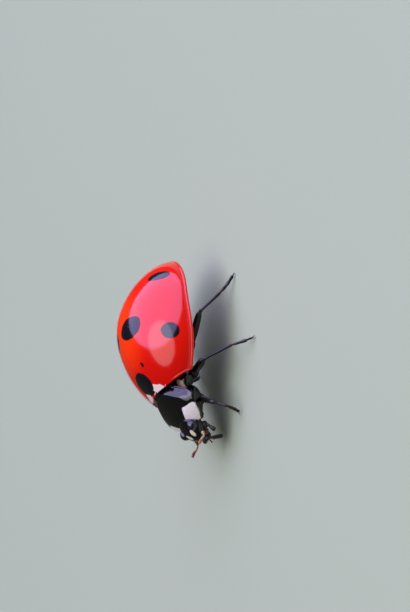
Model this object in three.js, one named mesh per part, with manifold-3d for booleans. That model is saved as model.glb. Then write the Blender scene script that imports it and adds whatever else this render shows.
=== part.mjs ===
// A seven-spot ladybird (Coccinella septempunctata), adult, standing with its wing cases closed.
// Millimetres. +X is forward (towards the head), +Y is the insect's left, +Z is up.
// The feet stand on Z = 0.
import * as THREE from 'three';
import { LoftGeometry } from 'three/addons/geometries/LoftGeometry.js';
import { mergeVertices } from 'three/addons/utils/BufferGeometryUtils.js';
import Module from 'manifold-3d';

const wasm = await Module();
wasm.setup();

// ---- driving dimensions -------------------------------------------------------------------------
const RIM_HEIGHT = 1.75; // the wing cases' lower rim above the ground
const ORIGIN_SHIFT = [-1.22, -0.67]; // puts the origin under the middle of the whole stance

const WING_FRONT = 2.62; // from the dome's middle to the front margin, beside the scutellum
const WING_REAR = 2.77; // from the dome's middle to the tip
const WING_HALF_WIDTH = 2.62;
const WING_RISE = 2.15; // the dome above its rim
const WING_FRONT_FULL = 3.15; // where the dome's front slope would reach the rim's level
const WING_WALL = 0.5;
const SHOULDER_POWER = 2.9; // squareness of the shoulders, seen from above
const FRONT_POWER = 1.95; // the same for the dome's own front and rear
const REAR_POWER = 2.27;
const DOME_POWER = 1.75; // 2 is a round section, less is a more peaked one

const CUT = 0.02; // the thin cut between two body parts
const SMALLEST = 0.008; // detail under this is smoothed away
const LEG = 0.26; // radius of shins, feet and feelers

// ---- colours ------------------------------------------------------------------------------------
const finish = (color, roughness = 0.3) => new THREE.MeshStandardMaterial({ color, roughness, metalness: 0 });
const scarlet = finish(0xc41406, 0.18);
const jet = finish(0x0b0b0d, 0.25);
const pitch = finish(0x15130f, 0.45);
const eyeBlack = finish(0x14141c, 0.15);
const amber = finish(0x8a4a18, 0.45);

// ---- solids -------------------------------------------------------------------------------------
const V = (x, y, z) => new THREE.Vector3(x, y, z);

// a point given by its height over the wing cases' rim
const body = (x, y, z) => V(x, y, z + RIM_HEIGHT);

function solid(geometry, weld = 1e-4) {
  const bare = new THREE.BufferGeometry()
    .setAttribute('position', geometry.getAttribute('position'))
    .setIndex(geometry.index);
  const merged = mergeVertices(bare, weld);
  return new wasm.Manifold(new wasm.Mesh({
    numProp: 3,
    vertProperties: merged.attributes.position.array,
    triVerts: new Uint32Array(merged.index.array),
  }));
}

function geometryOf(manifold) {
  const mesh = manifold.getMesh();
  return new THREE.BufferGeometry()
    .setAttribute('position', new THREE.BufferAttribute(new Float32Array(mesh.vertProperties), 3))
    .setIndex(new THREE.BufferAttribute(new Uint32Array(mesh.triVerts), 1));
}

// a sphere whose every direction (x forward, y left, z up) is sent to a point of the shape
function moulded(place, around = 24, rings = 16) {
  const sphere = new THREE.SphereGeometry(1, around, rings).rotateX(Math.PI / 2);
  const position = sphere.attributes.position;
  for (let i = 0; i < position.count; i += 1) {
    const p = place(V(position.getX(i), position.getY(i), position.getZ(i)));
    position.setXYZ(i, p.x, p.y, p.z);
  }
  return solid(sphere);
}

const ellipsoid = (centre, rx, ry, rz, around, rings) =>
  moulded((d) => V(centre.x + rx * d.x, centre.y + ry * d.y, centre.z + rz * d.z), around, rings);

// a rounded limb through the points, with its radius given at equal steps along it
function limb(points, radii, sides = 12, steps = 10) {
  const curve = new THREE.CatmullRomCurve3(points, false, 'centripetal');
  const frames = curve.computeFrenetFrames(steps, false);
  const sections = [];
  for (let i = 0; i <= steps; i += 1) {
    const t = i / steps;
    const at = t * (radii.length - 1);
    const k = Math.min(Math.floor(at), radii.length - 2);
    const radius = THREE.MathUtils.lerp(radii[k], radii[k + 1], at - k);
    sections.push(ring(curve.getPointAt(t), frames.normals[i], frames.binormals[i], radius, sides));
  }
  // two more rings at each end round it off
  const ends = [[0, -1, radii[0]], [steps, 1, radii[radii.length - 1]]];
  for (const [i, side, radius] of ends) {
    for (const turn of [35, 68]) {
      const a = THREE.MathUtils.degToRad(turn);
      const past = side * radius * Math.sin(a);
      const centre = curve.getPointAt(i / steps).addScaledVector(frames.tangents[i], past);
      const cap = ring(centre, frames.normals[i], frames.binormals[i], radius * Math.cos(a), sides);
      if (side < 0) sections.unshift(cap);
      else sections.push(cap);
    }
  }
  return solid(new LoftGeometry(sections, { capStart: true, capEnd: true }));
}

function ring(centre, u, v, radius, sides) {
  return Array.from({ length: sides }, (_, j) => {
    const a = (j / sides) * 2 * Math.PI;
    return centre.clone().addScaledVector(u, radius * Math.cos(a)).addScaledVector(v, radius * Math.sin(a));
  });
}

function box(from, to) {
  const size = to.clone().sub(from);
  const centre = from.clone().add(to).multiplyScalar(0.5);
  return solid(new THREE.BoxGeometry(size.x, size.y, size.z).translate(centre.x, centre.y, centre.z));
}

// everything on one side of a plane, from half a cut beyond it
function beyond(point, normal) {
  const geometry = new THREE.BoxGeometry(9, 9, 9).translate(0, 0, 4.5 + CUT / 2);
  geometry.applyQuaternion(new THREE.Quaternion().setFromUnitVectors(V(0, 0, 1), normal));
  return solid(geometry.translate(point.x, point.y, point.z));
}

const without = (piece, ...others) => others.reduce((left, other) => left.subtract(other), piece);
const union = (...pieces) => pieces.reduce((all, piece) => all.add(piece));

// the biggest body of a cut piece, without the crumbs or the slivers that a cut leaves
function whole(piece) {
  const biggest = (from) => from.decompose().sort((a, b) => b.volume() - a.volume())[0];
  return biggest(solid(geometryOf(biggest(piece).simplify(SMALLEST)), 2e-3));
}

const group = new THREE.Group();
group.position.set(ORIGIN_SHIFT[0], ORIGIN_SHIFT[1], 0);

function add(name, piece, material) {
  const mesh = new THREE.Mesh(geometryOf(whole(piece)), material);
  mesh.name = name;
  group.add(mesh);
  return piece;
}

// ---- wing cases and trunk -----------------------------------------------------------------------
// The dome is a superellipse seen from above, and a rounded arch over it.
function domeHeight(x, y, inset = 0) {
  const length = (x > 0 ? WING_FRONT_FULL : WING_REAR) - inset;
  const power = x > 0 ? FRONT_POWER : REAR_POWER;
  const q = (Math.abs(x) / length) ** power + (Math.abs(y) / (WING_HALF_WIDTH - inset)) ** power;
  return (WING_RISE - inset) * Math.max(0, 1 - q ** (DOME_POWER / power)) ** (1 / DOME_POWER);
}

// how far the outline is from the dome's middle, in the direction (c, s) seen from above
function planRadius(c, s, inset = 0, front = WING_FRONT - inset) {
  const length = c > 0 ? front : WING_REAR - inset;
  const power = c > 0 ? SHOULDER_POWER : REAR_POWER;
  const share = (Math.abs(c) / length) ** power + (Math.abs(s) / (WING_HALF_WIDTH - inset)) ** power;
  return share ** (-1 / power);
}

// The dome from above, closed below by belly(share of the radius), which gives the depth under the rim.
// An undercut slopes its front face back under the front margin.
function dome(inset, belly, around = 36, rings = 16, front = WING_FRONT - inset, undercut = 0) {
  return moulded((d) => {
    const flat = Math.hypot(d.x, d.y);
    const c = flat > 1e-6 ? d.x / flat : 1;
    const s = flat > 1e-6 ? d.y / flat : 0;
    const r = flat * planRadius(c, s, inset, front);
    const x = r * c;
    const y = r * s;
    if (d.z > -1e-6) return body(x, y, domeHeight(x, y, inset));
    const kept = 1 - undercut * Math.max(0, c) ** 2;
    return body(x * kept, y * kept, -belly(flat));
  }, around, rings);
}

const FAR = 9; // further than any part reaches
const CLOSING = 0.1; // depth of a dome's floor under the rim, where a cut or a hollow takes it off again
const FRONT_UNDERCUT = 0.2;
const aboveRim = box(V(-FAR, -FAR, RIM_HEIGHT), V(FAR, FAR, FAR));
const outer = dome(0, () => CLOSING, 36, 16, WING_FRONT, FRONT_UNDERCUT).intersect(aboveRim);
// the cases are open in front, so the room inside runs on past their front margin
const inner = dome(WING_WALL, () => 2 * CLOSING, 30, 14, WING_FRONT + 0.12);

// a small triangle between the cases, with its tip to the rear
const SCUTELLUM = { tip: WING_FRONT - 0.5, base: WING_FRONT + 0.2, halfWidth: 0.39, floor: RIM_HEIGHT + 0.4 };
const scutellumBlock = (grow) => solid(new THREE.ExtrudeGeometry(new THREE.Shape([
  new THREE.Vector2(SCUTELLUM.tip - 2 * grow, 0),
  new THREE.Vector2(SCUTELLUM.base, -SCUTELLUM.halfWidth - grow),
  new THREE.Vector2(SCUTELLUM.base, SCUTELLUM.halfWidth + grow),
]), { depth: WING_RISE, bevelEnabled: false }).translate(0, 0, SCUTELLUM.floor));
add('scutellum', dome(0.01, () => CLOSING).intersect(scutellumBlock(0)).subtract(inner), jet);

const shell = without(outer, inner, scutellumBlock(CUT));
const leftHalf = box(V(-FAR, CUT / 2, -FAR), V(FAR, FAR, FAR));
const rightHalf = box(V(-FAR, -FAR, -FAR), V(FAR, -CUT / 2, FAR));
add('wing_case_left', shell.intersect(leftHalf), scarlet);
add('wing_case_right', shell.intersect(rightHalf), scarlet);

// The trunk fills the room under the cases, and its belly is a low keel that the cases hide from the side.
const BELLY_DEPTH = 0.55;
const BELLY_POWER = 1.5;
const TRUNK_INSET = WING_WALL + 0.06;
const trunkAt = (grow) => dome(TRUNK_INSET - grow,
  (flat) => BELLY_DEPTH * (1 - flat ** BELLY_POWER) + 0.01 + grow, 24, 12, WING_FRONT - 0.06 + grow);
const trunkRoom = trunkAt(CUT);
const wingRoom = dome(-CUT, () => CLOSING)
  .subtract(dome(WING_WALL + CUT / 2, () => 2 * CLOSING, 30, 14, WING_FRONT + 0.3));

// ---- legs, where they are and how thick ---------------------------------------------------------
// the hip, knee, ankle and toe of each leg, over the ground
const LEGS = {
  front_left: [[2.95, 0.6, 1.2], [3.74, 1.86, 1.06], [3.96, 2.0, 0.62], [4.08, 1.72, 0]],
  middle_left: [[2.0, 0.8, 1.37], [2.08, 2.2, 1.42], [2.08, 3.5, 0.66], [2.18, 4.42, 0]],
  hind_left: [[0.9, 0.8, 1.37], [0.12, 2.3, 1.36], [-0.6, 2.56, 0.5], [-1.12, 3.1, 0]],
  front_right: [[2.95, -0.6, 1.2], [3.3, -1.8, 1.2], [2.98, -2.5, 0.6], [2.62, -3.05, 0]],
  middle_right: [[2.0, -0.8, 1.37], [1.5, -1.78, 1.1], [1.1, -1.86, 0.5], [0.7, -2.25, 0]],
  hind_right: [[0.9, -0.8, 1.37], [0.0, -2.3, 1.36], [-0.62, -2.55, 0.5], [-1.2, -3.0, 0]],
};
const LEG_SIDES = 8;
const COXA = { rx: 0.32, ry: 0.36, rz: 0.26 };
const THIGH_RADII = [0.28, 0.32, 0.3, LEG];
const jointsOf = (leg) => LEGS[leg].map(([x, y, z]) => V(x, y, z));
const coxaAt = (leg, grow) =>
  ellipsoid(jointsOf(leg)[0], COXA.rx + grow, COXA.ry + grow, COXA.rz + grow, LEG_SIDES, 6);
const thighAt = (leg, grow) =>
  limb(jointsOf(leg).slice(0, 2), THIGH_RADII.map((radius) => radius + grow), LEG_SIDES, 3);
// the hips and thighs lie in hollows of the body's underside
const legRoom = union(...Object.keys(LEGS).flatMap((leg) => [coxaAt(leg, CUT), thighAt(leg, CUT)]));

// ---- prothorax ----------------------------------------------------------------------------------
// The shield is tilted nose down. Its own frame has its origin between the hind corners.
const SHIELD_TILT = THREE.MathUtils.degToRad(34);
const SHIELD = {
  x: 3.1, z: 0.0, back: 1.0, front: 0.95, halfWidth: 1.43, frontHalfWidth: 0.82, notch: 0.34, rise: 0.56,
};
const SHIELD_FLOOR = -0.03;
const fromShield = (f, y, u) => body(
  SHIELD.x + f * Math.cos(SHIELD_TILT) + u * Math.sin(SHIELD_TILT),
  y,
  SHIELD.z - f * Math.sin(SHIELD_TILT) + u * Math.cos(SHIELD_TILT),
);

// seen from above: a bowed back, rounded hind corners, sides that draw in, and a notch in front for the head
const shieldSide = (({ back, front, halfWidth, frontHalfWidth, notch }) => [
  [front - 0.6 * notch, 0.5 * frontHalfWidth], [front, frontHalfWidth],
  [0.55 * front, 0.53 * (halfWidth + frontHalfWidth)], [0.06, halfWidth], [-0.2, 0.95 * halfWidth],
  [-0.52, 0.75 * halfWidth], [0.04 - back, 0.36 * halfWidth],
])(SHIELD);
const shieldRim = new THREE.CatmullRomCurve3([
  V(SHIELD.front - SHIELD.notch, 0, 0),
  ...shieldSide.map(([f, y]) => V(f, y, 0)),
  V(-SHIELD.back, 0, 0),
  ...shieldSide.map(([f, y]) => V(f, -y, 0)).reverse(),
], true).getPoints(160);

// the distance to the shield's rim, in one direction from its origin
function shieldReach(c, s) {
  const angle = Math.atan2(s, c);
  for (let i = 1; i < shieldRim.length; i += 1) {
    const from = shieldRim[i - 1];
    const to = shieldRim[i];
    const start = Math.atan2(from.y, from.x);
    const turn = THREE.MathUtils.euclideanModulo(Math.atan2(to.y, to.x) - start, 2 * Math.PI);
    const along = THREE.MathUtils.euclideanModulo(angle - start, 2 * Math.PI);
    if (along <= turn && turn < 1) {
      return THREE.MathUtils.lerp(Math.hypot(from.x, from.y), Math.hypot(to.x, to.y), along / turn);
    }
  }
  return SHIELD.front - SHIELD.notch;
}

function shieldHeight(f, y) {
  const along = f > 0 ? Math.sqrt(Math.max(0, 1 - (f / (SHIELD.front * 1.04)) ** 2)) : 1;
  const narrowing = (SHIELD.halfWidth - SHIELD.frontHalfWidth) * (Math.max(0, f) / SHIELD.front) ** 1.6;
  return SHIELD.rise * along * Math.sqrt(Math.max(0, 1 - (y / (1.02 * (SHIELD.halfWidth - narrowing))) ** 2));
}

function shield(lift, floor) {
  return moulded((d) => {
    const flat = Math.hypot(d.x, d.y);
    const reach = flat > 1e-6 ? shieldReach(d.x / flat, d.y / flat) : 0;
    const f = reach * d.x;
    const y = reach * d.y;
    return fromShield(f, y, d.z > -1e-6 ? shieldHeight(f, y) + lift : floor * Math.min(1, -4 * d.z));
  }, 36, 12);
}

add('pronotum', without(shield(0, SHIELD_FLOOR), wingRoom), jet);
const CHEST = { x: 3.06, z: -0.22, rx: 0.86, ry: 1.02, rz: 0.6 };
const chestAt = (grow) =>
  ellipsoid(body(CHEST.x, 0, CHEST.z), CHEST.rx + grow, CHEST.ry + grow, CHEST.rz + grow, 14, 10);
const shieldRoom = shield(CUT, SHIELD_FLOOR - CUT);
add('prothorax', without(chestAt(0), shieldRoom, wingRoom, trunkRoom, legRoom), jet);

const WAIST_X = 0.35; // the cut between the hind thorax and the abdomen
const behindWaist = box(V(-FAR, -FAR, -FAR), V(WAIST_X, FAR, FAR));
const beforeWaist = box(V(WAIST_X + CUT, -FAR, -FAR), V(FAR, FAR, FAR));
add('abdomen', without(trunkAt(0).intersect(behindWaist), legRoom), jet);
add('thorax', without(trunkAt(0).intersect(beforeWaist), shieldRoom, legRoom), jet);

// ---- head ---------------------------------------------------------------------------------------
// leans forward towards the mouth, and narrows there
const HEAD = { x: 3.98, z: -0.36, rx: 0.42, ry: 0.68, rz: 0.52, lean: 0.26, narrowing: 0.3 };
const skullAt = (grow) => moulded((d) => body(
  HEAD.x + (HEAD.rx + grow) * d.x - HEAD.lean * d.z,
  (HEAD.ry + grow) * d.y * (1 - HEAD.narrowing * Math.max(0, -d.z)),
  HEAD.z + (HEAD.rz + grow) * d.z,
), 18, 12);
const prothoraxRoom = union(shieldRoom, chestAt(CUT));
const EYE = { x: 4.04, y: 0.47, z: -0.2, rx: 0.24, ry: 0.2, rz: 0.26 };
const eyeAt = (side, grow) =>
  ellipsoid(body(EYE.x, side * EYE.y, EYE.z), EYE.rx + grow, EYE.ry + grow, EYE.rz + grow, 12, 8);
const eyeRoom = union(eyeAt(1, CUT), eyeAt(-1, CUT));
add('head', without(skullAt(0), prothoraxRoom, eyeRoom), jet);
add('eye_left', without(eyeAt(1, 0), prothoraxRoom), eyeBlack);
add('eye_right', without(eyeAt(-1, 0), prothoraxRoom), eyeBlack);
const faceRoom = union(skullAt(CUT), eyeRoom);

const JAWS = { x: 4.36, z: -0.84, rx: 0.25, ry: 0.34, rz: 0.25 };
const jawsAt = (grow) =>
  ellipsoid(body(JAWS.x, 0, JAWS.z), JAWS.rx + grow, JAWS.ry + grow, JAWS.rz + grow, 12, 8);
add('mouthparts', without(jawsAt(0), faceRoom), pitch);

const FEELERS = {
  left: [[4.3, 0.38, -0.56], [4.6, 0.52, -0.46], [4.88, 0.72, -0.32]],
  right: [[4.28, -0.36, -0.5], [4.5, -0.42, -0.54], [4.72, -0.44, -0.46], [4.96, -0.42, -0.36]],
};
const PALPS = {
  left: [[4.0, 0.46, -0.72], [4.08, 0.5, -0.9], [4.12, 0.52, -1.02]],
  right: [[4.1, -0.4, -0.8], [4.12, -0.3, -1.05], [4.1, -0.26, -1.4]],
};
const headRoom = union(faceRoom, jawsAt(CUT), prothoraxRoom);
for (const side of ['left', 'right']) {
  const route = (line) => line.map(([x, y, z]) => body(x, y, z));
  const feeler = (grow) => limb(route(FEELERS[side]), [LEG + grow, LEG + grow], 10, 2);
  add(`antenna_${side}`, without(feeler(0), headRoom), amber);
  add(`palp_${side}`, without(limb(route(PALPS[side]), [LEG, LEG], 10, 2), headRoom, feeler(CUT)), pitch);
}

// ---- legs ---------------------------------------------------------------------------------------
const BALL_AT = 0.55; // where the foot touches down, as a share of the way from ankle to toe
const SOLE_AT = 0.88;
const SOLE_HEIGHT = 0.68 * LEG; // lower than its radius, so that the sole is a small flat
const ground = box(V(-FAR, -FAR, -3), V(FAR, FAR, 0));
const coverRoom = union(dome(-CUT, () => CUT), shieldRoom); // what the thighs lie under

for (const leg of Object.keys(LEGS)) {
  const [hip, knee, ankle, toe] = jointsOf(leg);
  const shin = limb([knee, ankle], [LEG, LEG], LEG_SIDES, 1);
  const ball = ankle.clone().lerp(toe, BALL_AT).setZ(LEG);
  const sole = ankle.clone().lerp(toe, SOLE_AT).setZ(SOLE_HEIGHT);
  const foot = limb([ankle, ball, sole], [LEG, LEG, LEG], LEG_SIDES, 4);
  // each joint is cut along the plane that halves its bend
  const along = (from, to) => to.clone().sub(from).normalize();
  const kneeBend = along(hip, knee).add(along(knee, ankle)).normalize();
  const ankleBend = along(knee, ankle).add(along(ankle, ball)).normalize();
  const back = (normal) => normal.clone().negate();
  const hipRoom = coxaAt(leg, CUT);
  const middle = without(shin, beyond(knee, back(kneeBend)), beyond(ankle, ankleBend));
  add(`coxa_${leg}`, without(coxaAt(leg, 0), coverRoom), jet);
  add(`femur_${leg}`, without(thighAt(leg, 0), beyond(knee, kneeBend), hipRoom, coverRoom), jet);
  add(`tibia_${leg}`, without(middle, hipRoom, coverRoom, trunkRoom), jet);
  add(`tarsus_${leg}`, without(foot, beyond(ankle, back(ankleBend)), ground), jet);
}

export default group;
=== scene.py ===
# %% [markdown]
# # A seven-spot ladybird
# The real insect is a glossy little dome, seven millimetres long. Its red wing cases are two hard
# shells that meet in a straight line down the back, its neck shield and head are black with cream
# marks, and its six legs have slim dark segments that end in padded feet with paired claws.
# The solids of the model give the size and place of every part. This scene rebuilds each part at
# its true thickness inside them, and gives it the finish of the living shell.

# %% Load the frame
import math
import bmesh
import bpy
from mathutils import Matrix, Vector


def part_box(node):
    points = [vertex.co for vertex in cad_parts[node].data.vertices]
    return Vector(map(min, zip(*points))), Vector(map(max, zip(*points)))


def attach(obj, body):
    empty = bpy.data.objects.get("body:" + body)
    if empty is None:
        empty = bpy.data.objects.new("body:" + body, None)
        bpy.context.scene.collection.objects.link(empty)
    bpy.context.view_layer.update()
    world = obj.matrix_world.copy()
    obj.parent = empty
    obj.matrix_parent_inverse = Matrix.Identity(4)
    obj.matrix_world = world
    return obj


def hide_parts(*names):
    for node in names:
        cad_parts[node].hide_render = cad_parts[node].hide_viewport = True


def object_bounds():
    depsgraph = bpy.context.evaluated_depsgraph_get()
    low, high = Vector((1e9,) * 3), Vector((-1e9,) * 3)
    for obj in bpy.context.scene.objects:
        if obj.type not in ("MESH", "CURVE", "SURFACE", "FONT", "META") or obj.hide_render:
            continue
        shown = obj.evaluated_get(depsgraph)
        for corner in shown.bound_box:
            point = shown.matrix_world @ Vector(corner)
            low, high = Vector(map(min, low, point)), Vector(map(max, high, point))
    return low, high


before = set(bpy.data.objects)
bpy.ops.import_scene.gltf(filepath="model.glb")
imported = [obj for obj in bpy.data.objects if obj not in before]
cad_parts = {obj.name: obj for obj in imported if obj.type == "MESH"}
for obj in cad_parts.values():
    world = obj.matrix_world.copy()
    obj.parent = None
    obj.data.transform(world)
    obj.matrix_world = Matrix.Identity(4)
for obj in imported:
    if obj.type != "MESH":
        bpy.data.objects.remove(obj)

cad_low, cad_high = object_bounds()
box_mm = [round(1000 * v, 2) for v in cad_low + cad_high]
print("solids:", len(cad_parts), "nodes, box in mm", box_mm)

# %% [markdown]
# ## The workbench
# A ladybird measured in metres is a few thousandths long, and modelling operators merge or skip
# things that small. So each piece is worked a thousand times too big: on the bench one unit is a
# millimetre. The bench has its zero in the middle of the wing cases, at the height of their rim,
# with the head towards +X and the insect's left towards +Y. Each finished piece is then brought down
# to life size, straight in its mesh, so that its object stays at the origin.

# %% Bench measures
MM = 0.001
DOME_REAR = 2.77
left_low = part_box("wing_case_left")[0]
right_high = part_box("wing_case_right")[1]
BODY = Vector((left_low.x / MM + DOME_REAR, (left_low.y + right_high.y) / 2 / MM, left_low.z / MM))
GROUND = -BODY.z
TO_LIFE = Matrix.Scale(MM, 4) @ Matrix.Translation(BODY)
SHARP_EDGE = math.radians(40)
POLES_ALONG_X = (0, math.pi / 2, 0)
print("bench zero in the row frame, mm:", [round(v, 3) for v in BODY])

# %% [markdown]
# ## Bench helpers
# A piece starts as a primitive, and is shaped in edit mode, by a rule for its points, or by a modifier
# that is applied at once. Nothing is selected when a new piece starts, so no operator reaches another.

# %% Bench helpers


def to_object_mode():
    if bpy.context.object and bpy.context.object.mode != "OBJECT":
        bpy.ops.object.mode_set(mode="OBJECT")


def clear_bench():
    """Nothing is selected, so that an operator can't touch another piece."""
    to_object_mode()
    bpy.ops.object.select_all(action="DESELECT")


def take_up(piece):
    """Make this the only piece that operators act on."""
    clear_bench()
    piece.select_set(True)
    bpy.context.view_layer.objects.active = piece


def fresh(name, size=(1, 1, 1)):
    """Name the primitive that was just added, and put its place and size into its mesh."""
    to_object_mode()
    piece = bpy.context.object
    piece.scale = size
    piece.name = name
    piece.data.name = name
    take_up(piece)
    bpy.ops.object.transform_apply(location=True, rotation=True, scale=True)
    return piece


def ball(name, segments, rings, size=(1, 1, 1), **placing):
    """Start a piece as a ball of radius one, which may be placed, turned and stretched."""
    clear_bench()
    bpy.ops.mesh.primitive_uv_sphere_add(segments=segments, ring_count=rings, radius=1, **placing)
    return fresh(name, size)


def mould(piece, rule):
    """Move every point of a piece by a rule that no single operator gives."""
    for vertex in piece.data.vertices:
        vertex.co = rule(vertex.co.copy())
    piece.data.update()


def choose(piece, wanted, kind="FACE"):
    """In edit mode, select only the faces, edges or points whose middle passes a test."""
    take_up(piece)
    bpy.ops.object.mode_set(mode="EDIT")
    bpy.ops.mesh.select_mode(type=kind)
    bpy.ops.mesh.select_all(action="DESELECT")
    mesh = bmesh.from_edit_mesh(piece.data)
    parts = {"FACE": mesh.faces, "EDGE": mesh.edges, "VERT": mesh.verts}[kind]
    for part in parts:
        corners = [part.co] if kind == "VERT" else [v.co for v in part.verts]
        middle = sum(corners, Vector()) / len(corners)
        part.select_set(bool(wanted(middle, part)))
    mesh.select_flush_mode()
    bmesh.update_edit_mesh(piece.data)


def change(piece, kind, **settings):
    """Add a modifier and apply it at once."""
    take_up(piece)
    modifier = piece.modifiers.new(kind.lower(), kind)
    for key, value in settings.items():
        setattr(modifier, key, value)
    bpy.ops.object.modifier_apply(modifier=modifier.name)


def cut_away(piece, point, normal):
    """Bisect by a plane, and drop what lies behind its normal."""
    choose(piece, lambda middle, part: True)
    bpy.ops.mesh.bisect(plane_co=point, plane_no=normal, clear_inner=True, threshold=1e-5)
    to_object_mode()


def tidy(piece, merge=1e-4):
    """Merge doubled points and turn every face outwards."""
    choose(piece, lambda middle, part: True)
    bpy.ops.mesh.remove_doubles(threshold=merge)
    bpy.ops.mesh.normals_make_consistent(inside=False)
    to_object_mode()


def face_up(piece):
    """An open shell can come out of tidy inside out, so it is turned if its highest face looks down."""
    highest = max(piece.data.polygons, key=lambda face: face.center.z)
    if highest.normal.z < 0:
        choose(piece, lambda middle, part: True)
        bpy.ops.mesh.flip_normals()
        to_object_mode()


def twin(piece, name):
    """A copy with its own mesh."""
    take_up(piece)
    bpy.ops.object.duplicate(linked=False)
    copy = bpy.context.object
    copy.name = name
    copy.data.name = name
    return copy


def far_twin(piece, name):
    """A copy mirrored to the insect's right."""
    copy = twin(piece, name)
    bpy.ops.transform.resize(value=(1, -1, 1), center_override=(0, 0, 0))
    bpy.ops.object.transform_apply(location=True, rotation=True, scale=True)
    tidy(copy)
    return copy


def join(name, pieces):
    """Make one piece of several that are fixed to each other."""
    take_up(pieces[0])
    for piece in pieces:
        piece.select_set(True)
    bpy.ops.object.join()
    pieces[0].name = name
    pieces[0].data.name = name
    return pieces[0]


def paint(piece, material):
    piece.data.materials.clear()
    piece.data.materials.append(material)


def set_in_place(piece, slot, *nodes):
    """Bring a finished piece down to life size, fix it to the root, and hide the solids it stands for."""
    take_up(piece)
    piece.data.transform(TO_LIFE)
    bpy.ops.object.shade_smooth_by_angle(angle=SHARP_EDGE)
    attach(piece, "root")
    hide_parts(*nodes)
    print(piece.name, "-", len(piece.data.polygons), "faces")


def soft_step(value, low, high):
    t = min(1.0, max(0.0, (value - low) / (high - low)))
    return t * t * (3 - 2 * t)


def bump(value, centre, width):
    return math.exp(-((value - centre) / width) ** 2)


# %% [markdown]
# ## Camera
# The insect clings head down to a stem, which for this model is the floor. So the camera lies on its
# side beside the insect: down in the picture runs along the floor, towards the head, and the floor
# is to the right. It looks from the insect's left and a little from above its back. A long lens at
# arm's length keeps the depth flat, as in a close-up.

# %% Camera
AROUND = math.radians(26)
ABOVE = math.radians(18)
ROLL = math.radians(1)
PIXELS_PER_MM = 26.0
PICTURE_HEIGHT = 612
FRAME_HEIGHT = PICTURE_HEIGHT / PIXELS_PER_MM
CAMERA_DISTANCE = 400.0
AIM = Vector((-2.061, 0.165, 0.576))

towards = Vector((
    math.sin(AROUND) * math.cos(ABOVE),
    math.cos(AROUND) * math.cos(ABOVE),
    math.sin(ABOVE),
))
along_floor = Vector((math.cos(AROUND), -math.sin(AROUND), 0))
off_floor = along_floor.cross(towards)
screen_right = -off_floor * math.cos(ROLL) - along_floor * math.sin(ROLL)
screen_up = off_floor * math.sin(ROLL) - along_floor * math.cos(ROLL)
turn = Matrix((screen_right, screen_up, towards)).transposed().to_4x4()

lens = bpy.data.cameras.new("camera")
lens.lens = lens.sensor_width * CAMERA_DISTANCE / FRAME_HEIGHT
lens.clip_start = 0.02
lens.clip_end = 5
camera = bpy.data.objects.new("camera", lens)
camera.matrix_world = Matrix.Translation((AIM + towards * CAMERA_DISTANCE) * MM) @ turn
bpy.context.scene.collection.objects.link(camera)
bpy.context.scene.camera = camera
print("camera at mm", [round(1000 * v, 1) for v in camera.location], "lens", round(lens.lens))

# %% [markdown]
# ## Floor and light
# The insect stands under open sky. On a glossy dome that is one broad bluish patch which covers most
# of the wing case and ends in a soft edge, with a brighter, whiter part in front. So two round soft
# lights hang over the insect's left side: a wide bluish one behind, and a smaller white one ahead of it.
# A weak greenish world fills the shadows. The Standard view transform keeps the shell's red vivid.

# %% Floor and light
clear_bench()
bpy.ops.mesh.primitive_plane_add(size=6.0)
floor = fresh("floor")
floor_paint = bpy.data.materials.new("pale_floor")
floor_paint.use_nodes = True
floor_shader = floor_paint.node_tree.nodes["Principled BSDF"]
floor_shader.inputs["Base Color"].default_value = (0.36, 0.43, 0.25, 1)
floor_shader.inputs["Roughness"].default_value = 0.9
floor_shader.inputs["Specular IOR Level"].default_value = 0.1
paint(floor, floor_paint)

bpy.context.scene.view_settings.view_transform = "Standard"
world = bpy.data.worlds.new("studio")
bpy.context.scene.world = world
world.use_nodes = True
background = world.node_tree.nodes["Background"]
background.inputs["Color"].default_value = (0.92, 1.0, 0.78, 1)
background.inputs["Strength"].default_value = 0.09

LIGHT_DISTANCE = 0.30


def soft_light(name, azimuth, elevation, size, power, colour):
    """A round light that faces the insect, from a direction given in degrees from +X."""
    a = math.radians(azimuth)
    e = math.radians(elevation)
    way = Vector((math.cos(a) * math.cos(e), math.sin(a) * math.cos(e), math.sin(e)))
    lamp = bpy.data.lights.new(name, "AREA")
    lamp.shape = "DISK"
    lamp.size = size
    lamp.energy = power
    lamp.color = colour
    holder = bpy.data.objects.new(name, lamp)
    facing = way.to_track_quat("Z", "Y").to_matrix().to_4x4()
    holder.matrix_world = Matrix.Translation(way * LIGHT_DISTANCE) @ facing
    bpy.context.scene.collection.objects.link(holder)


soft_light("sky_panel", 150, 50, 0.66, 4.3, (0.55, 0.49, 1.0))
soft_light("cloud_panel", 58, 66, 0.26, 0.36, (1.0, 0.95, 0.95))

# %% [markdown]
# ## Shared finishes
# Every surface reads its own Object coordinates, turned into the bench's millimetres by one group,
# so that marks can be placed by the same measures as the shapes. Three more groups are shared: an
# oval mark, fine pits, and a slow mottling of tone.

# %% Node helpers


def put(tree, kind, inputs=(), **settings):
    """Add a node, and give each input a value or a link."""
    node = tree.nodes.new(kind)
    for key, value in settings.items():
        setattr(node, key, value)
    for key, value in dict(inputs).items():
        if isinstance(value, bpy.types.NodeSocket):
            tree.links.new(value, node.inputs[key])
        else:
            node.inputs[key].default_value = value
    return node


def maths(tree, operation, a, b=0.0, c=0.0, clamp=False):
    return put(tree, "ShaderNodeMath", {0: a, 1: b, 2: c}, operation=operation, use_clamp=clamp).outputs[0]


def vectors(tree, operation, a, b, out=0):
    return put(tree, "ShaderNodeVectorMath", {0: a, 1: b}, operation=operation).outputs[out]


def blend_colour(tree, factor, a, b):
    return put(tree, "ShaderNodeMix", {0: factor, 6: a, 7: b}, data_type="RGBA").outputs[2]


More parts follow.
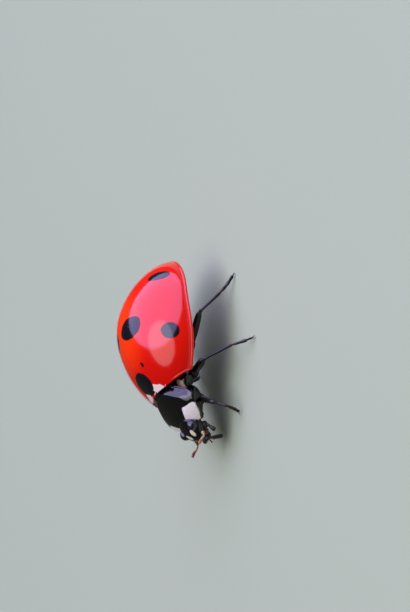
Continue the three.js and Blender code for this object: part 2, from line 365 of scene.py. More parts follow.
def smooth_range(tree, value, low, high, to_low=0.0, to_high=1.0):
    node = put(tree, "ShaderNodeMapRange", {0: value, 1: low, 2: high, 3: to_low, 4: to_high},
               interpolation_type="SMOOTHSTEP")
    return node.outputs[0]


def new_group(name, inputs, outputs):
    """A node group with named sockets. Gives its tree, and its input and output nodes."""
    tree = bpy.data.node_groups.new(name, "ShaderNodeTree")
    for label, kind, value in inputs:
        socket = tree.interface.new_socket(label, in_out="INPUT", socket_type="NodeSocket" + kind)
        socket.default_value = value
    for label, kind in outputs:
        tree.interface.new_socket(label, in_out="OUTPUT", socket_type="NodeSocket" + kind)
    return tree, tree.nodes.new("NodeGroupInput").outputs, tree.nodes.new("NodeGroupOutput").inputs


def use_group(tree, group, **inputs):
    node = tree.nodes.new("ShaderNodeGroup")
    node.node_tree = group
    for key, value in inputs.items():
        socket = node.inputs[key.replace("_", " ")]
        if isinstance(value, bpy.types.NodeSocket):
            tree.links.new(value, socket)
        else:
            socket.default_value = value
    return node.outputs


# %% Group: bench millimetres
bench_group, given, gives = new_group("bench_millimetres", [("Object", "Vector", (0, 0, 0))],
                                      [("Place", "Vector"), ("Mirrored", "Vector")])
place = put(bench_group, "ShaderNodeMapping", {"Vector": given["Object"], "Location": -BODY,
                                               "Scale": (1 / MM, 1 / MM, 1 / MM)}).outputs[0]
bench_group.links.new(place, gives["Place"])
along, across, upward = put(bench_group, "ShaderNodeSeparateXYZ", {0: place}).outputs
off_middle = maths(bench_group, "ABSOLUTE", across)
folded = put(bench_group, "ShaderNodeCombineXYZ", {0: along, 1: off_middle, 2: upward}).outputs[0]
bench_group.links.new(folded, gives["Mirrored"])

# %% Group: oval mark
oval_group, given, gives = new_group(
    "oval_mark",
    [("Place", "Vector", (0, 0, 0)), ("Ripple", "Float", 0.0), ("Centre", "Vector", (0, 0, 0)),
     ("Long way", "Vector", (1, 0, 0)), ("Short way", "Vector", (0, 1, 0)),
     ("Half length", "Float", 0.3), ("Half width", "Float", 0.2), ("Depth", "Float", 0.6),
     ("Softness", "Float", 0.06)],
    [("Mask", "Float")])
offset = vectors(oval_group, "SUBTRACT", given["Place"], given["Centre"])
through = vectors(oval_group, "CROSS_PRODUCT", given["Long way"], given["Short way"])
sides = [(given["Long way"], given["Half length"]), (given["Short way"], given["Half width"]),
         (through, given["Depth"])]
squares = []
for way, half in sides:
    run = vectors(oval_group, "DOT_PRODUCT", offset, way, out=1)
    share = maths(oval_group, "DIVIDE", run, half)
    squares.append(maths(oval_group, "MULTIPLY", share, share))
total = maths(oval_group, "ADD", maths(oval_group, "ADD", squares[0], squares[1]), squares[2])
reach = maths(oval_group, "ADD", maths(oval_group, "SQRT", total), given["Ripple"])
edge = maths(oval_group, "DIVIDE", maths(oval_group, "SUBTRACT", 1.0, reach), given["Softness"])
oval_group.links.new(smooth_range(oval_group, edge, -1.0, 1.0), gives["Mask"])

# %% Group: fine pits
pits_group, given, gives = new_group(
    "fine_pits",
    [("Place", "Vector", (0, 0, 0)), ("Spacing", "Float", 0.06), ("Pit size", "Float", 0.35),
     ("Grain", "Float", 0.2)],
    [("Height", "Float"), ("Pit", "Float")])
density = maths(pits_group, "DIVIDE", 1.0, given["Spacing"])
spread = put(pits_group, "ShaderNodeVectorMath", {0: given["Place"], "Scale": density},
             operation="SCALE").outputs[0]
cells = put(pits_group, "ShaderNodeTexVoronoi", {"Vector": spread, "Scale": 1.0, "Randomness": 0.8})
grain = put(pits_group, "ShaderNodeTexNoise", {"Vector": spread, "Scale": 2.5, "Detail": 3.0})
pit = smooth_range(pits_group, cells.outputs["Distance"], 0.0, given["Pit size"], 1.0, 0.0)
roughening = maths(pits_group, "MULTIPLY", grain.outputs["Fac"], given["Grain"])
height = maths(pits_group, "SUBTRACT", roughening, pit)
pits_group.links.new(height, gives["Height"])
pits_group.links.new(pit, gives["Pit"])

# %% Group: slow mottling
mottle_group, given, gives = new_group(
    "mottling", [("Place", "Vector", (0, 0, 0)), ("Size", "Float", 1.0), ("Contrast", "Float", 0.5)],
    [("Tone", "Float")])
grow = maths(mottle_group, "DIVIDE", 1.0, given["Size"])
tone = put(mottle_group, "ShaderNodeTexNoise", {"Vector": given["Place"], "Scale": grow, "Detail": 4.0,
                                                 "Roughness": 0.6}).outputs["Fac"]
swing = maths(mottle_group, "SUBTRACT", tone, 0.5)
tone = maths(mottle_group, "MULTIPLY_ADD", swing, given["Contrast"], 0.5, clamp=True)
mottle_group.links.new(tone, gives["Tone"])

# %% [markdown]
# ## Materials
# The shell is pigment under a clear surface, so every hard part has a coloured base and a shiny
# finish, broken only by pits a few hundredths of a millimetre across. A mark is a mask: an oval laid
# on the shell, or an outline with a few corners, and a slow ripple keeps its edge from looking ruled.

# %% Material starter


def new_finish(name):
    """A material, with its shader and the bench places that its patterns read."""
    material = bpy.data.materials.new(name)
    material.use_nodes = True
    tree = material.node_tree
    shader = tree.nodes["Principled BSDF"]
    seen = put(tree, "ShaderNodeTexCoord").outputs["Object"]
    places = use_group(tree, bench_group, Object=seen)
    return material, tree, shader, places["Place"], places["Mirrored"]


def set_shader(shader, **values):
    for key, value in values.items():
        shader.inputs[key.replace("_", " ")].default_value = value


def raise_surface(tree, shader, height, distance):
    """Feed a height in the pattern to the shader's normal. The distance is in metres."""
    node = put(tree, "ShaderNodeBump", {"Height": height, "Distance": distance, "Strength": 1.0})
    tree.links.new(node.outputs[0], shader.inputs["Normal"])


def linear(red, green, blue):
    """A colour given as on a screen, from 0 to 255, in the shader's own scale."""
    def part(value):
        value /= 255
        return value / 12.92 if value <= 0.04045 else ((value + 0.055) / 1.055) ** 2.4
    return (part(red), part(green), part(blue), 1.0)


def mark_with_corners(tree, u, v, corners, softness, ripple):
    """A mask inside an outline of straight sides, with its corners (u, v) given anticlockwise."""
    inside = None
    for (u0, v0), (u1, v1) in zip(corners, corners[1:] + corners[:1]):
        length = math.hypot(u1 - u0, v1 - v0)
        a, b = (v0 - v1) / length, (u1 - u0) / length
        reach = maths(tree, "MULTIPLY_ADD", u, a, maths(tree, "MULTIPLY_ADD", v, b, -a * u0 - b * v0))
        inside = reach if inside is None else maths(tree, "SMOOTH_MIN", inside, reach, 0.06)
    return smooth_range(tree, maths(tree, "ADD", inside, ripple), -softness, softness)


def ripple_of(tree, place, size, height):
    """A slow wobble that keeps the edge of a mark from looking ruled."""
    tone = use_group(tree, mottle_group, Place=place, Size=size, Contrast=1.0)["Tone"]
    return maths(tree, "MULTIPLY", maths(tree, "SUBTRACT", tone, 0.5), height)


# %% Material: wing cases
# each spot: centre, long way, short way, half length, half width
DARK_SPOTS = {
    "rear": ((-1.61, 1.82, 0.89), (-0.10, -0.72, 0.69), (0.87, 0.28, 0.42), 0.49, 0.25),
    "disc": ((0.15, 0.81, 1.97), (0.06, -0.94, 0.33), (-1.0, -0.04, 0.05), 0.64, 0.43),
    "side": ((0.87, 2.18, 0.84), (-0.33, -0.48, 0.81), (0.92, -0.35, 0.17), 0.38, 0.31),
    "scutellar": ((2.20, 0.0, 1.5), (0.0, 1.0, 0.0), (1.0, 0.0, -0.3), 0.54, 0.52),
}
WHITE_MARK = [(2.27, 0.25), (2.82, 0.07), (2.82, 0.78), (2.50, 0.76)]

wing_finish, tree, shader, place, mirrored = new_finish("wing_case_red")
ripple = ripple_of(tree, place, 0.22, 0.22)
dark = None
for centre, long_way, short_way, half_length, half_width in DARK_SPOTS.values():
    mask = use_group(tree, oval_group, Place=mirrored, Ripple=ripple, Centre=centre, Long_way=long_way,
                     Short_way=short_way, Half_length=half_length, Half_width=half_width)["Mask"]
    dark = mask if dark is None else maths(tree, "MAXIMUM", dark, mask)
fleck = use_group(tree, oval_group, Place=place, Ripple=ripple, Centre=(1.63, 0.68, 1.61),
                  Long_way=(1, 0, 0), Short_way=(0, 1, 0), Half_length=0.10, Half_width=0.07,
                  Softness=0.3)["Mask"]
dark = maths(tree, "MAXIMUM", dark, fleck)
whole = put(tree, "ShaderNodeSeparateXYZ", {0: mirrored}).outputs
pale = mark_with_corners(tree, whole[0], whole[1], WHITE_MARK, 0.02, ripple_of(tree, place, 0.15, 0.10))
tone = use_group(tree, mottle_group, Place=place, Size=1.4, Contrast=1.2)["Tone"]
red = blend_colour(tree, tone, linear(212, 10, 2), linear(232, 24, 3))
# painted shade: the cases are painted a deeper red towards the front, where they face away from the light
red = blend_colour(tree, smooth_range(tree, whole[0], 0.4, 2.4, 0.0, 0.7), red, linear(204, 4, 2))
# painted light: the top of the dome is painted a brighter, more orange red, for the light it catches there
red = blend_colour(tree, smooth_range(tree, whole[2], 1.5, 2.1, 0.0, 0.8), red, linear(246, 58, 4))
red = blend_colour(tree, smooth_range(tree, whole[2], 0.02, 0.22, 0.8, 0.0), red, linear(212, 40, 12))
red = blend_colour(tree, pale, red, linear(244, 226, 200))
red = blend_colour(tree, dark, red, linear(9, 6, 14))
tree.links.new(red, shader.inputs["Base Color"])
pits = use_group(tree, pits_group, Place=place, Spacing=0.085, Pit_size=0.30, Grain=0.12)
raise_surface(tree, shader, pits["Height"], 1.0e-6)
set_shader(shader, Roughness=0.11, IOR=1.5, Coat_Weight=0.1, Coat_Roughness=0.06)

# %% Material: black shell
def black_shell(name, pit_spacing=0.05, grain=0.5):
    """The black finish before its marks. Gives what a mark needs, and the black so far."""
    material, tree, shader, place, mirrored = new_finish(name)
    tone = use_group(tree, mottle_group, Place=place, Size=0.5, Contrast=1.4)["Tone"]
    pits = use_group(tree, pits_group, Place=place, Spacing=pit_spacing, Pit_size=0.4, Grain=grain)
    raise_surface(tree, shader, pits["Height"], 1.2e-6)
    set_shader(shader, Roughness=0.12, IOR=1.6)
    return material, tree, shader, mirrored, blend_colour(tree, tone, linear(3, 3, 4), linear(10, 8, 9))


black_finish, tree, shader, _, black = black_shell("black_shell")
tree.links.new(black, shader.inputs["Base Color"])

# %% Material: neck shield, with a cream mark on each front corner
SHIELD_X = 3.1
SHIELD_Z = 0.0
SHIELD_TILT = math.radians(34)
CREAM_MARK = [
    (0.17, 0.78), (0.59, 0.36), (0.88, 0.68), (0.90, 0.80), (0.64, 1.10), (0.37, 1.29), (0.27, 1.24),
]
shield_finish, tree, shader, mirrored, black = black_shell("neck_shield_black", 0.07, 0.3)
from_hind = vectors(tree, "SUBTRACT", mirrored, (SHIELD_X, 0, SHIELD_Z))
shield_forward = (math.cos(SHIELD_TILT), 0, -math.sin(SHIELD_TILT))
forward = vectors(tree, "DOT_PRODUCT", from_hind, shield_forward, out=1)
sideways = put(tree, "ShaderNodeSeparateXYZ", {0: mirrored}).outputs[1]
cream = mark_with_corners(tree, forward, sideways, CREAM_MARK, 0.018, ripple_of(tree, mirrored, 0.2, 0.05))
tone = use_group(tree, mottle_group, Place=mirrored, Size=0.12, Contrast=1.5)["Tone"]
cream_colour = blend_colour(tree, tone, linear(232, 222, 202), linear(248, 242, 226))
tree.links.new(blend_colour(tree, cream, black, cream_colour), shader.inputs["Base Color"])

# %% Material: head, with two pale marks on the brow
head_finish, tree, shader, mirrored, black = black_shell("head_black", 0.045, 0.4)
brow = use_group(tree, oval_group, Place=mirrored, Ripple=ripple_of(tree, mirrored, 0.1, 0.3),
                 Centre=(4.29, 0.215, -0.22), Long_way=(0.575, -0.406, -0.71),
                 Short_way=(0.42, 0.89, -0.17), Half_length=0.16, Half_width=0.095,
                 Depth=0.4, Softness=0.15)["Mask"]
tree.links.new(blend_colour(tree, brow, black, linear(240, 226, 190)), shader.inputs["Base Color"])

# %% Material: breast, with a pale plate behind each foreleg
breast_finish, tree, shader, mirrored, black = black_shell("breast_black", 0.06, 0.6)
plate = use_group(tree, oval_group, Place=mirrored, Ripple=ripple_of(tree, mirrored, 0.15, 0.3),
                  Centre=(2.50, 0.76, 0.20), Long_way=(0.1, 0.5, -0.4), Short_way=(0.5, -0.2, 0.2),
                  Half_length=0.13, Half_width=0.09, Depth=0.4, Softness=0.25)["Mask"]
tree.links.new(blend_colour(tree, plate, black, linear(222, 186, 160)), shader.inputs["Base Color"])

# %% Material: eyes
eye_finish, tree, shader, place, _ = new_finish("eye_black")
facets = use_group(tree, pits_group, Place=place, Spacing=0.022, Pit_size=0.6, Grain=0.0)
facet_colour = blend_colour(tree, facets["Pit"], linear(16, 12, 26), linear(30, 24, 48))
tree.links.new(facet_colour, shader.inputs["Base Color"])
raise_surface(tree, shader, maths(tree, "MULTIPLY", facets["Height"], -1.0), 0.8e-6)
set_shader(shader, Roughness=0.16, IOR=1.55, Coat_Weight=0.3, Coat_Roughness=0.05)

# %% [markdown]
# ## Wing cases
# Each case is half a dome: nearly oval from above, drawn out a little in front where the shoulders
# are square, with a narrow raised bead round the side and a flat inturned lip underneath. A ball cut
# into quarters has the right layout of faces, with lines that run from shoulder to tip. A formula
# then sends each point of the ball to its place on the dome, since no operator knows that curve. The
# lip is the edge extruded inwards and then upwards, and Solidify gives the shell its wall.

# %% The dome's formula
DOME_FRONT = 3.15
SHOULDER_REACH = 2.62
DOME_HALF_WIDTH = 2.62
DOME_RISE = 2.15
RIM_ARCH = 0.09
# A higher power gives a squarer outline. The arch is the curve from rim to top, and the rear's power
# gives way to the front's within the blend of the middle.
REAR_POWER = 2.27
FRONT_POWER = 1.95
SHOULDER_POWER = 2.9
ARCH_POWER = 1.75
BLEND = 0.9
# The bead and the groove above it: how far each is from the rim, and its width.
BEAD = (0.06, 0.03)
GROOVE = (0.12, 0.035)
BEAD_SHARE = 0.8


def mix(a, b, share):
    return a + (b - a) * share


def dome_share(x, y, inset):
    """0 at the top of the dome and 1 where it comes down to the rim's level, with the power in use."""
    forward = soft_step(x, -BLEND, BLEND)
    length = mix(DOME_REAR, DOME_FRONT, forward) - inset
    power = mix(REAR_POWER, FRONT_POWER, forward)
    return (abs(x) / length) ** power + (abs(y) / (DOME_HALF_WIDTH - inset)) ** power, power


def dome_height(x, y, inset=0.0):
    share, power = dome_share(x, y, inset)
    return (DOME_RISE - inset) * max(0.0, 1 - share ** (ARCH_POWER / power)) ** (1 / ARCH_POWER)


def plan_reach(c, s, inset=0.0):
    """How far the rim is from the middle, in one direction seen from above. It stays on the dome."""
    length = (SHOULDER_REACH if c > 0 else DOME_REAR) - inset
    power = SHOULDER_POWER if c > 0 else REAR_POWER
    reach = ((abs(c) / length) ** power + (abs(s) / (DOME_HALF_WIDTH - inset)) ** power) ** (-1 / power)
    for _ in range(3):
        share, power = dome_share(reach * c, reach * s, inset)
        reach *= max(1.0, share) ** (-1 / power)
    return reach


def on_dome(point, inset=0.0, groove=0.0, rim_pull=1.6):
    """Send a point of the unit ball to the dome. Rows are drawn towards the rim, to shape its bead."""
    rise = abs(point.z) ** rim_pull
    flat = math.sqrt(max(0.0, 1 - rise * rise))
    level = math.hypot(point.x, point.y)
    c, s = (point.x / level, point.y / level) if level > 1e-6 else (1.0, 0.0)
    edge = plan_reach(c, s, inset)
    x, y = flat * edge * c, flat * edge * s
    z = dome_height(x, y, inset)
    rim_z = dome_height(edge * c, edge * s, inset)
    from_rim = math.hypot(edge * (1 - flat), z - rim_z)
    side = soft_step(abs(s), 0.02, 0.25) * (1 - soft_step(c, 0.80, 0.97))
    push = groove * side * (bump(from_rim, *GROOVE) - BEAD_SHARE * bump(from_rim, *BEAD))
    return Vector((x - push * c, y - push * s, z))


def arch_rim(point):
    """The rim of a case curves up a little above the middle legs."""
    lift = RIM_ARCH * bump(point.x, -0.3, 1.0)
    return Vector((point.x, point.y, lift + point.z * (1 - lift / DOME_RISE)))


# %% Model the left case, and mirror it for the right
SEAM = 0.008
GROOVE_DEPTH = 0.016
LIP_SHARE = 0.83
LIP_LIFT = 0.06
LIP_HEIGHT = 0.25
CASE_WALL = 0.07


def stay_off_seam(piece):
    """Keep the left case just off the midline, so that the two cases meet in a fine line."""
    for vertex in piece.data.vertices:
        vertex.co.y = max(vertex.co.y, SEAM)


case = ball("case_left", 240, 128, rotation=POLES_ALONG_X)
cut_away(case, (0, 0, 0), (0, 0, 1))
cut_away(case, (0, 0, 0), (0, 1, 0))
mould(case, lambda p: arch_rim(on_dome(p, groove=GROOVE_DEPTH)))
tidy(case, merge=0.001)
stay_off_seam(case)
print("left case:", len(case.data.vertices), "points before its lip")


def at_rim(middle, edge):
    return edge.is_boundary and middle.y > SEAM * 1.5


choose(case, at_rim, "EDGE")
bpy.ops.mesh.extrude_region_move(TRANSFORM_OT_translate={"value": (0, 0, 0)})
bpy.ops.transform.resize(value=(LIP_SHARE, LIP_SHARE, 1), center_override=(0, 0, 0))
bpy.ops.transform.translate(value=(0, 0, LIP_LIFT))
bpy.ops.mesh.extrude_region_move(TRANSFORM_OT_translate={"value": (0, 0, LIP_HEIGHT)})
to_object_mode()
stay_off_seam(case)
tidy(case)
face_up(case)
change(case, "SOLIDIFY", thickness=CASE_WALL, offset=-1)

right_case = far_twin(case, "case_right")
for piece, node in ((case, "wing_case_left"), (right_case, "wing_case_right")):
    paint(piece, wing_finish)
    set_in_place(piece, "wing_case", node)

# %% [markdown]
# ## Scutellum
# The small three-cornered plate between the cases is cut out of a cylinder with three sides. Its top
# follows the dome, a hundredth of a millimetre above it.

# %% Scutellum
SCUTELLUM_X = 2.587
SCUTELLUM_PROUD = 0.012
SCUTELLUM_DEPTH = 0.12


def on_scutellum(p):
    return Vector((p.x, p.y, dome_height(p.x, p.y) + (SCUTELLUM_PROUD if p.z > 0 else -SCUTELLUM_DEPTH)))


clear_bench()
bpy.ops.mesh.primitive_cylinder_add(vertices=3, radius=0.5, depth=0.1, location=(SCUTELLUM_X, 0, 0),
                                    rotation=(0, 0, math.pi / 2))
scutellum = fresh("scutellum_plate", (0.9, 0.933, 1))
choose(scutellum, lambda middle, part: True)
bpy.ops.mesh.subdivide(number_cuts=7)
to_object_mode()
mould(scutellum, on_scutellum)
tidy(scutellum)
change(scutellum, "BEVEL", width=0.015, segments=2, limit_method="ANGLE", angle_limit=math.radians(50))
paint(scutellum, black_finish)
set_in_place(scutellum, "black_shell", "scutellum")

# %% [markdown]
# ## Neck shield
# The shield is a single plate, wider than long, hollowed in front for the head. A smooth curve through
# a few marks gives its rim. It is shaped lying flat, and then tilted into place.

# %% The shield's formula
SHIELD_BACK = 1.0
SHIELD_FRONT = 0.95
SHIELD_HALF = 1.43
SHIELD_FRONT_HALF = 0.82
SHIELD_NOTCH = 0.34
SHIELD_RISE = 0.56
SHIELD_ROWS = 1.2
HIND_DROP = 0.27
SHIELD_LIP_SHARE = 0.84
SHIELD_LIP_DROP = 0.03
SHIELD_WALL = 0.05
RIM_MARKS = [
    (SHIELD_FRONT - SHIELD_NOTCH, 0), (SHIELD_FRONT - 0.6 * SHIELD_NOTCH, 0.5 * SHIELD_FRONT_HALF),
    (SHIELD_FRONT, SHIELD_FRONT_HALF), (0.55 * SHIELD_FRONT, 0.53 * (SHIELD_HALF + SHIELD_FRONT_HALF)),
    (0.06, SHIELD_HALF), (-0.2, 0.95 * SHIELD_HALF), (-0.52, 0.75 * SHIELD_HALF),
    (0.04 - SHIELD_BACK, 0.36 * SHIELD_HALF), (-SHIELD_BACK, 0),
]
polar_marks = [(math.atan2(y, f), math.hypot(f, y)) for f, y in RIM_MARKS]
around_marks = [(-a, r) for a, r in reversed(polar_marks[1:])] + polar_marks
around_marks += [(2 * math.pi - a, r) for a, r in reversed(polar_marks[:-1])]


def shield_reach(c, s):
    """The distance to the shield's rim, on a smooth curve through its marks."""
    angle = abs(math.atan2(s, c))
    k = max(i for i in range(1, len(around_marks) - 2) if around_marks[i][0] <= angle + 1e-9)
    (a0, r0), (a1, r1), (a2, r2), (a3, r3) = around_marks[k - 1:k + 3]
    t = (angle - a1) / (a2 - a1)
    slope1 = (r2 - r0) / (a2 - a0) * (a2 - a1)
    slope2 = (r3 - r1) / (a3 - a1) * (a2 - a1)
    return ((2 * t ** 3 - 3 * t ** 2 + 1) * r1 + (t ** 3 - 2 * t ** 2 + t) * slope1
            + (3 * t ** 2 - 2 * t ** 3) * r2 + (t ** 3 - t ** 2) * slope2)


def shield_height(f, y):
    along = math.sqrt(max(0.0, 1 - (f / (SHIELD_FRONT * 1.04)) ** 2)) if f > 0 else 1.0
    narrowing = (SHIELD_HALF - SHIELD_FRONT_HALF) * (max(0.0, f) / SHIELD_FRONT) ** 1.6
    return SHIELD_RISE * along * math.sqrt(max(0.0, 1 - (y / (1.02 * (SHIELD_HALF - narrowing))) ** 2))


def from_shield(f, y, u):
    return Vector((SHIELD_X + f * math.cos(SHIELD_TILT) + u * math.sin(SHIELD_TILT), y,
                   SHIELD_Z - f * math.sin(SHIELD_TILT) + u * math.cos(SHIELD_TILT)))


def on_shield(point):
    """Send a point of the unit ball to the shield. Its height on the ball says how far in it goes."""
    flat = 1 - (2 * math.asin(min(1.0, abs(point.z))) / math.pi) ** SHIELD_ROWS
    level = math.hypot(point.x, point.y)
    c, s = (point.x / level, point.y / level) if level > 1e-6 else (1.0, 0.0)
    reach = shield_reach(c, s)
    f, y = flat * reach * c, flat * reach * s
    u = shield_height(f, y)
    u -= HIND_DROP * soft_step(flat, 0.74, 1.0) * soft_step(-c, -0.2, 0.45)
    from_rim = reach * (1 - flat)
    beside = soft_step(abs(s), 0.45, 0.9)
    u += beside * (0.02 * bump(from_rim, 0.02, 0.03) - 0.012 * bump(from_rim, 0.09, 0.04))
    return Vector((f, y, u))


# %% Model the neck shield
shield = ball("neck_shield", 128, 96, rotation=POLES_ALONG_X)
cut_away(shield, (0, 0, 0), (0, 0, 1))
mould(shield, on_shield)
choose(shield, lambda middle, edge: edge.is_boundary, "EDGE")
bpy.ops.mesh.extrude_region_move(TRANSFORM_OT_translate={"value": (0, 0, -SHIELD_LIP_DROP)})
bpy.ops.transform.resize(value=(SHIELD_LIP_SHARE, SHIELD_LIP_SHARE, 1), center_override=(0, 0, 0))
to_object_mode()
tidy(shield)
face_up(shield)
change(shield, "SOLIDIFY", thickness=SHIELD_WALL, offset=-1)
mould(shield, lambda p: from_shield(p.x, p.y, p.z))
paint(shield, shield_finish)
set_in_place(shield, "black_shell", "pronotum")

# %% [markdown]
# ## Trunk
# Under the wing cases the trunk is one low mass, black and finely pitted. The belly's plates overlap
# like tiles, so each ends in a small step. The breast swells beside the middle hips, and ahead of it a
# keel runs between the front hips.

# %% Model the trunk
TRUNK_INSET = 0.56
BELLY_DEPTH = 0.55
BELLY_POWER = 1.5
WAIST = 0.35
PLATE_LENGTH = 0.44
PLATE_CURVE = 0.07
PLATE_STEP = 0.035


def on_trunk(point):
    if point.z > 0:
        return on_dome(point, inset=TRUNK_INSET, rim_pull=1.0)
    flat = math.hypot(point.x, point.y)
    c, s = (point.x / flat, point.y / flat) if flat > 1e-6 else (1.0, 0.0)
    edge = plan_reach(c, s, TRUNK_INSET)
    x, y = flat * edge * c, flat * edge * s
    z = -BELLY_DEPTH * (1 - flat ** BELLY_POWER) - 0.01
    if x < WAIST:
        plates = (WAIST - x - PLATE_CURVE * y * y) / PLATE_LENGTH
        z -= PLATE_STEP * (plates - math.floor(plates)) * (1 - flat ** 6)
    return Vector((x, y, z))


def trunk_part(name, keep, finish):
    piece = ball(name, 96, 112, rotation=POLES_ALONG_X)
    mould(piece, on_trunk)
    cut_away(piece, (WAIST, 0, 0), (keep, 0, 0))
    choose(piece, lambda middle, edge: edge.is_boundary, "EDGE")
    bpy.ops.mesh.fill()
    to_object_mode()
    tidy(piece)
    paint(piece, finish)
    return piece


set_in_place(trunk_part("belly", -1, black_finish), "black_shell", "abdomen")

SIDE_PLATE_CENTRE = Vector((2.2, 0.72, 0.0))
SIDE_PLATE_HALF = Vector((0.46, 0.40, 0.34))


def on_side_plate(d):
    """The breast swells beside the middle hips, with a crease between its two side plates."""
    crease = 0.07 * bump(d.x + 0.5 * d.z, 0.25, 0.07)
    return SIDE_PLATE_CENTRE + SIDE_PLATE_HALF * d * (1 - crease)


breast = trunk_part("breast", 1, breast_finish)
side_plate = ball("side_plate", 64, 40)
mould(side_plate, on_side_plate)
paint(side_plate, breast_finish)
far_plate = far_twin(side_plate, "far_side_plate")
set_in_place(join("breast", [breast, side_plate, far_plate]), "black_shell", "thorax")

FORE_BREAST_X = 3.06
FORE_BREAST_Z = -0.22
FORE_BREAST_HALF_LENGTH = 0.84
FORE_BREAST_HALF_HEIGHT = 0.58


def on_fore_breast(d):
    """A keel runs between the front hips, with a hollow for each hip beside it."""
    under = soft_step(-d.z, 0.1, 0.6)
    keel = 0.06 * bump(d.y, 0, 0.12)
    hip_hollow = 0.07 * bump(abs(d.y), 0.42, 0.2) * bump(d.x, -0.1, 0.5)
    d = d * (1.0 + under * (keel - hip_hollow))
    return Vector((FORE_BREAST_X + FORE_BREAST_HALF_LENGTH * d.x, d.y * (1 - 0.12 * max(0.0, d.x)),
                   FORE_BREAST_Z + FORE_BREAST_HALF_HEIGHT * d.z))


fore_breast = ball("fore_breast", 96, 64)
mould(fore_breast, on_fore_breast)
paint(fore_breast, black_finish)
set_in_place(fore_breast, "black_shell", "prothorax")

# %% [markdown]
# ## Head
# The head is short and wide and points down and forward. The brow bulges a little over each eye and
# between the jaws, and the skull is narrower below. A bean-shaped eye sits on each side of it.

# %% Skull and eyes
HEAD_CENTRE = Vector((3.98, 0, -0.36))
HEAD_HALF = (0.42, 0.68, 0.52)
HEAD_LEAN = 0.26
# each swelling of the head, or hollow: its direction, height and width
SWELLINGS = [
    ((0.80, 0.0, -0.60), 0.05, 0.32), ((0.97, 0.0, 0.15), -0.03, 0.35),
    ((0.80, 0.52, -0.30), 0.05, 0.16), ((0.80, -0.52, -0.30), 0.05, 0.16),
]


def on_head(d):
    proud = 1.0 + sum(height * bump((d - Vector(way)).length, 0, width) for way, height, width in SWELLINGS)
    d = d * proud
    return Vector((HEAD_CENTRE.x + HEAD_HALF[0] * d.x - HEAD_LEAN * d.z,
                   HEAD_HALF[1] * d.y * (1 - 0.3 * max(0.0, -d.z)),
                   HEAD_CENTRE.z + HEAD_HALF[2] * d.z))


skull = ball("skull", 96, 64)
mould(skull, on_head)
paint(skull, head_finish)
set_in_place(skull, "black_shell", "head")

EYE_CENTRE = (4.04, 0.465, -0.2)
EYE_HALF = (0.235, 0.195, 0.25)


def on_eye(d, side):
    """An oval eye, with a nick in front where the cheek cuts in above the feeler."""
    nick = 0.16 * bump((d - Vector((0.75, side * 0.3, -0.55))).length, 0, 0.42)
    d = d * (1 - nick)
    return Vector((EYE_CENTRE[0] + EYE_HALF[0] * d.x, side * EYE_CENTRE[1] + EYE_HALF[1] * d.y,
                   EYE_CENTRE[2] + EYE_HALF[2] * d.z))


for side, hand in ((1, "left"), (-1, "right")):
    eye = ball("facet_eye_" + hand, 64, 48)
    mould(eye, lambda d: on_eye(d, side))
    paint(eye, eye_finish)
    set_in_place(eye, "eye", "eye_" + hand)

# %% [markdown]
# ## Spindles
# Feelers, palps and legs are all slim segments that swell and taper. Each is modelled standing up: a
# ring is extruded upwards again and again, and resized each time. Then it is laid along its line.

# %% Spindle helpers


def spindle(name, stations, sides=14, smooth=1):
    """A ring at the first station, extruded and resized to the rest: (height, half X, half Y)."""
    clear_bench()
    z, x, y = stations[0]
    bpy.ops.mesh.primitive_circle_add(vertices=sides, radius=1, fill_type="NGON", location=(0, 0, z))
    piece = fresh(name, (x, y, 1))
    choose(piece, lambda middle, part: True)
    for (z0, x0, y0), (z1, x1, y1) in zip(stations, stations[1:]):
        bpy.ops.mesh.extrude_region_move(TRANSFORM_OT_translate={"value": (0, 0, z1 - z0)})
        bpy.ops.transform.resize(value=(x1 / x0, y1 / y0, 1), center_override=(0, 0, z1))
    to_object_mode()
    tidy(piece)
    change(piece, "SUBSURF", levels=smooth, render_levels=smooth)
    return piece


def lay(piece, start, end, across, keep_length=False):
    """Turn a piece that stands on the bench so that it runs from start to end."""
    start, end, across = Vector(start), Vector(end), Vector(across)
    way = end - start
    z = way.normalized()
    x = (across - z * across.dot(z)).normalized()
    columns = Matrix((x, z.cross(x), z if keep_length else way)).transposed()
    piece.data.transform(Matrix.Translation(start) @ columns.to_4x4())
    return piece


# %% Materials for limbs
def limb_finish(name, deep, light, rough):
    material, tree, shader, place, _ = new_finish(name)
    tone = use_group(tree, mottle_group, Place=place, Size=0.25, Contrast=1.6)["Tone"]
    tree.links.new(blend_colour(tree, tone, deep, light), shader.inputs["Base Color"])
    pits = use_group(tree, pits_group, Place=place, Spacing=0.035, Pit_size=0.45, Grain=0.6)
    raise_surface(tree, shader, pits["Height"], 2.0e-6)
    set_shader(shader, Roughness=rough, IOR=1.5)
    return material


leg_black = limb_finish("leg_black", linear(7, 6, 8), linear(26, 20, 19), 0.3)
foot_brown = limb_finish("foot_brown", linear(34, 18, 10), linear(92, 50, 24), 0.4)
spur_amber = limb_finish("spur_amber", linear(150, 84, 34), linear(206, 140, 70), 0.4)
# painted highlight: this pale colour, used on the left feeler only, stands in for the light that feeler
# catches
feeler_painted_highlight = limb_finish("feeler_painted_highlight", linear(168, 140, 98), linear(214, 196, 156), 0.4)
feeler_amber = limb_finish("feeler_amber", linear(130, 74, 26), linear(196, 132, 66), 0.4)
feeler_tip = limb_finish("feeler_tip", linear(70, 22, 14), linear(128, 52, 34), 0.45)
mouth_brown = limb_finish("mouth_brown", linear(44, 22, 18), linear(112, 62, 52), 0.22)
jaw_black = limb_finish("jaw_black", linear(14, 8, 8), linear(44, 24, 20), 0.16)

# %% [markdown]
# ## Feelers and palps
# A feeler has eleven segments on a smooth line: a stout base, a slim stalk, and three thicker ones that
# end it in a club. A feeding palp has three segments.

